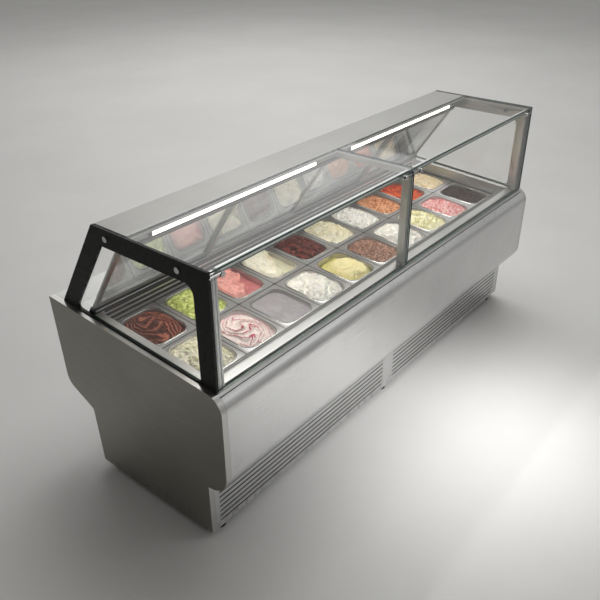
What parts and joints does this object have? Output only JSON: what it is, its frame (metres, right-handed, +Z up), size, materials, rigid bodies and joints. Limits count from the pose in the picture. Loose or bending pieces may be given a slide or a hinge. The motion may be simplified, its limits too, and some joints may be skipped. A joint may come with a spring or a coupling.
{
  "type": "ice cream dipping cabinet",
  "caption": "Long refrigerated ice cream display counter with sloped deck of pans under a glass superstructure, sliding rear doors, lift-up front glass and slotted recessed base",
  "frame": {"origin": "on the floor under the middle of the cabinet", "axes": "+X along the cabinet's length, to the right as a customer sees it; -Y towards the customer, +Y towards the server; +Z up"},
  "size_m": [2.85, 1.1098, 1.376],
  "materials": {
    "body_steel": "satin",
    "stainless": "satin",
    "chrome_fittings": "polished",
    "chassis_paint": "satin",
    "foam": "matte",
    "black_frame": "satin",
    "clear_glass": "polished",
    "door_glass_aluminium": "polished",
    "aluminium": "satin",
    "light_strip": "diffusing",
    "unit_paint": "satin",
    "coil_aluminium": "matte",
    "fan_plastic": "matte",
    "black_plastic": "matte",
    "foot_black": "matte",
    "pan_steel": "satin",
    "glass_edge": "polished",
    "seal_rubber": "matte",
    "display_window": "polished",
    "copper": "satin",
    "ice_pistachio_cream": "frozen, soft",
    "ice_raspberry_ripple": "frozen, soft",
    "ice_lavender": "frozen, soft",
    "ice_milk_white": "frozen, soft",
    "ice_lemon": "frozen, soft",
    "ice_chocolate_crumb": "frozen, soft",
    "ice_plain_white": "frozen, soft",
    "ice_lime_cream": "frozen, soft",
    "ice_pink_berry": "frozen, soft",
    "ice_dark_chocolate": "frozen, soft",
    "ice_chocolate_swirl": "frozen, soft",
    "ice_bright_green": "frozen, soft",
    "ice_salmon_pink": "frozen, soft",
    "ice_ivory": "frozen, soft",
    "ice_dark_berry": "frozen, soft",
    "ice_cream": "frozen, soft",
    "ice_stracciatella": "frozen, soft",
    "ice_caramel": "frozen, soft",
    "ice_orange": "frozen, soft",
    "ice_vanilla": "frozen, soft"
  },
  "bodies": {
    "cabinet": {"end_panel_left": "body_steel", "end_panel_right": "body_steel", "front_panel": "body_steel", "base_front_panel": "body_steel", "rear_panel": "body_steel", "front_ledge": "stainless", "rear_ledge": "stainless", "base_frame": "chassis_paint", "insulation": "foam", "tank_liner": "stainless", "deck_frame": "stainless", "end_frame_left": "black_frame", "end_frame_right": "black_frame", "end_glass_panes": "clear_glass", "glass_fittings": "chrome_fittings", "glass_posts": "aluminium", "top_shelf": "stainless", "top_glass_panes": "clear_glass", "led_lights": "light_strip", "door_tracks": "aluminium", "condensing_unit": "unit_paint", "evaporator": "coil_aluminium", "control_panel": "black_plastic", "drain_spigot": "stainless", "cable_gland": "black_plastic"},
    "rear_door_1": {"rear_door_1": "door_glass_aluminium"},
    "rear_door_2": {"rear_door_2": "door_glass_aluminium"},
    "rear_door_3": {"rear_door_3": "door_glass_aluminium"},
    "rear_door_4": {"rear_door_4": "door_glass_aluminium"},
    "front_glass_left": {"front_glass_left": "clear_glass"},
    "front_glass_right": {"front_glass_right": "clear_glass"},
    "condenser_fan": {"condenser_fan": "fan_plastic"},
    "evaporator_fan": {"evaporator_fan": "fan_plastic"},
    "power_switch": {"power_switch": "black_plastic"},
    "foot_front_left": {"foot_front_left": "foot_black"},
    "foot_front_middle": {"foot_front_middle": "foot_black"},
    "foot_front_right": {"foot_front_right": "foot_black"},
    "foot_rear_left": {"foot_rear_left": "foot_black"},
    "foot_rear_middle": {"foot_rear_middle": "foot_black"},
    "foot_rear_right": {"foot_rear_right": "foot_black"},
    "pan_front_01": {"pan_front_01": "ice_pistachio_cream"},
    "pan_front_02": {"pan_front_02": "ice_raspberry_ripple"},
    "pan_front_03": {"pan_front_03": "ice_lavender"},
    "pan_front_04": {"pan_front_04": "ice_milk_white"},
    "pan_front_05": {"pan_front_05": "ice_lemon"},
    "pan_front_06": {"pan_front_06": "ice_chocolate_crumb"},
    "pan_front_07": {"pan_front_07": "ice_plain_white"},
    "pan_front_08": {"pan_front_08": "ice_lime_cream"},
    "pan_front_09": {"pan_front_09": "ice_pink_berry"},
    "pan_front_10": {"pan_front_10": "ice_dark_chocolate"},
    "pan_rear_01": {"pan_rear_01": "ice_chocolate_swirl"},
    "pan_rear_02": {"pan_rear_02": "ice_bright_green"},
    "pan_rear_03": {"pan_rear_03": "ice_salmon_pink"},
    "pan_rear_04": {"pan_rear_04": "ice_ivory"},
    "pan_rear_05": {"pan_rear_05": "ice_dark_berry"},
    "pan_rear_06": {"pan_rear_06": "ice_cream"},
    "pan_rear_07": {"pan_rear_07": "ice_stracciatella"},
    "pan_rear_08": {"pan_rear_08": "ice_caramel"},
    "pan_rear_09": {"pan_rear_09": "ice_orange"},
    "pan_rear_10": {"pan_rear_10": "ice_vanilla"}
  },
  "joints": [
    {"name": "rear_door_1_slide", "type": "slide", "parent": "cabinet", "child": "rear_door_1", "axis": [1, 0, 0], "range_m": [0, 0.66]},
    {"name": "rear_door_2_slide", "type": "slide", "parent": "cabinet", "child": "rear_door_2", "axis": [1, 0, 0], "range_m": [-0.68, 0]},
    {"name": "rear_door_3_slide", "type": "slide", "parent": "cabinet", "child": "rear_door_3", "axis": [1, 0, 0], "range_m": [0, 0.68]},
    {"name": "rear_door_4_slide", "type": "slide", "parent": "cabinet", "child": "rear_door_4", "axis": [1, 0, 0], "range_m": [-0.66, 0]},
    {"name": "front_glass_left_lift", "type": "hinge", "parent": "cabinet", "child": "front_glass_left", "pos_m": [-0.7, -0.505, 1.346], "axis": [-1, 0, 0], "range_deg": [0, 85]},
    {"name": "front_glass_right_lift", "type": "hinge", "parent": "cabinet", "child": "front_glass_right", "pos_m": [0.7, -0.505, 1.346], "axis": [-1, 0, 0], "range_deg": [0, 85]},
    {"name": "condenser_fan_spin", "type": "hinge", "parent": "cabinet", "child": "condenser_fan", "pos_m": [0.8, -0.299, 0.225], "axis": [0, 1, 0], "continuous": true},
    {"name": "evaporator_fan_spin", "type": "hinge", "parent": "cabinet", "child": "evaporator_fan", "pos_m": [-0.5, -0.001, 0.536], "axis": [0, 1, 0], "continuous": true},
    {"name": "power_switch_rock", "type": "hinge", "parent": "cabinet", "child": "power_switch", "pos_m": [1.15, 0.53862, 0.76043], "axis": [1, 0, 0], "range_deg": [0, 16]},
    {"name": "foot_front_left_screw", "type": "hinge", "parent": "cabinet", "child": "foot_front_left", "pos_m": [-1.34, -0.4, 0], "axis": [0, 0, 1], "continuous": true},
    {"name": "foot_front_middle_screw", "type": "hinge", "parent": "cabinet", "child": "foot_front_middle", "pos_m": [0, -0.4, 0], "axis": [0, 0, 1], "continuous": true},
    {"name": "foot_front_right_screw", "type": "hinge", "parent": "cabinet", "child": "foot_front_right", "pos_m": [1.34, -0.4, 0], "axis": [0, 0, 1], "continuous": true},
    {"name": "foot_rear_left_screw", "type": "hinge", "parent": "cabinet", "child": "foot_rear_left", "pos_m": [-1.34, 0.295, 0], "axis": [0, 0, 1], "continuous": true},
    {"name": "foot_rear_middle_screw", "type": "hinge", "parent": "cabinet", "child": "foot_rear_middle", "pos_m": [0, 0.295, 0], "axis": [0, 0, 1], "continuous": true},
    {"name": "foot_rear_right_screw", "type": "hinge", "parent": "cabinet", "child": "foot_rear_right", "pos_m": [1.34, 0.295, 0], "axis": [0, 0, 1], "continuous": true},
    {"name": "pan_front_01_lift", "type": "slide", "parent": "cabinet", "child": "pan_front_01", "axis": [0, -0.0698, 0.9976], "range_m": [0, 0.2]},
    {"name": "pan_front_02_lift", "type": "slide", "parent": "cabinet", "child": "pan_front_02", "axis": [0, -0.0698, 0.9976], "range_m": [0, 0.2]},
    {"name": "pan_front_03_lift", "type": "slide", "parent": "cabinet", "child": "pan_front_03", "axis": [0, -0.0698, 0.9976], "range_m": [0, 0.2]},
    {"name": "pan_front_04_lift", "type": "slide", "parent": "cabinet", "child": "pan_front_04", "axis": [0, -0.0698, 0.9976], "range_m": [0, 0.2]},
    {"name": "pan_front_05_lift", "type": "slide", "parent": "cabinet", "child": "pan_front_05", "axis": [0, -0.0698, 0.9976], "range_m": [0, 0.2]},
    {"name": "pan_front_06_lift", "type": "slide", "parent": "cabinet", "child": "pan_front_06", "axis": [0, -0.0698, 0.9976], "range_m": [0, 0.2]},
    {"name": "pan_front_07_lift", "type": "slide", "parent": "cabinet", "child": "pan_front_07", "axis": [0, -0.0698, 0.9976], "range_m": [0, 0.2]},
    {"name": "pan_front_08_lift", "type": "slide", "parent": "cabinet", "child": "pan_front_08", "axis": [0, -0.0698, 0.9976], "range_m": [0, 0.2]},
    {"name": "pan_front_09_lift", "type": "slide", "parent": "cabinet", "child": "pan_front_09", "axis": [0, -0.0698, 0.9976], "range_m": [0, 0.2]},
    {"name": "pan_front_10_lift", "type": "slide", "parent": "cabinet", "child": "pan_front_10", "axis": [0, -0.0698, 0.9976], "range_m": [0, 0.2]},
    {"name": "pan_rear_01_lift", "type": "slide", "parent": "cabinet", "child": "pan_rear_01", "axis": [0, -0.0698, 0.9976], "range_m": [0, 0.085]},
    {"name": "pan_rear_02_lift", "type": "slide", "parent": "cabinet", "child": "pan_rear_02", "axis": [0, -0.0698, 0.9976], "range_m": [0, 0.085]},
    {"name": "pan_rear_03_lift", "type": "slide", "parent": "cabinet", "child": "pan_rear_03", "axis": [0, -0.0698, 0.9976], "range_m": [0, 0.085]},
    {"name": "pan_rear_04_lift", "type": "slide", "parent": "cabinet", "child": "pan_rear_04", "axis": [0, -0.0698, 0.9976], "range_m": [0, 0.085]},
    {"name": "pan_rear_05_lift", "type": "slide", "parent": "cabinet", "child": "pan_rear_05", "axis": [0, -0.0698, 0.9976], "range_m": [0, 0.085]},
    {"name": "pan_rear_06_lift", "type": "slide", "parent": "cabinet", "child": "pan_rear_06", "axis": [0, -0.0698, 0.9976], "range_m": [0, 0.085]},
    {"name": "pan_rear_07_lift", "type": "slide", "parent": "cabinet", "child": "pan_rear_07", "axis": [0, -0.0698, 0.9976], "range_m": [0, 0.085]},
    {"name": "pan_rear_08_lift", "type": "slide", "parent": "cabinet", "child": "pan_rear_08", "axis": [0, -0.0698, 0.9976], "range_m": [0, 0.085]},
    {"name": "pan_rear_09_lift", "type": "slide", "parent": "cabinet", "child": "pan_rear_09", "axis": [0, -0.0698, 0.9976], "range_m": [0, 0.085]},
    {"name": "pan_rear_10_lift", "type": "slide", "parent": "cabinet", "child": "pan_rear_10", "axis": [0, -0.0698, 0.9976], "range_m": [0, 0.085]}
  ]
}
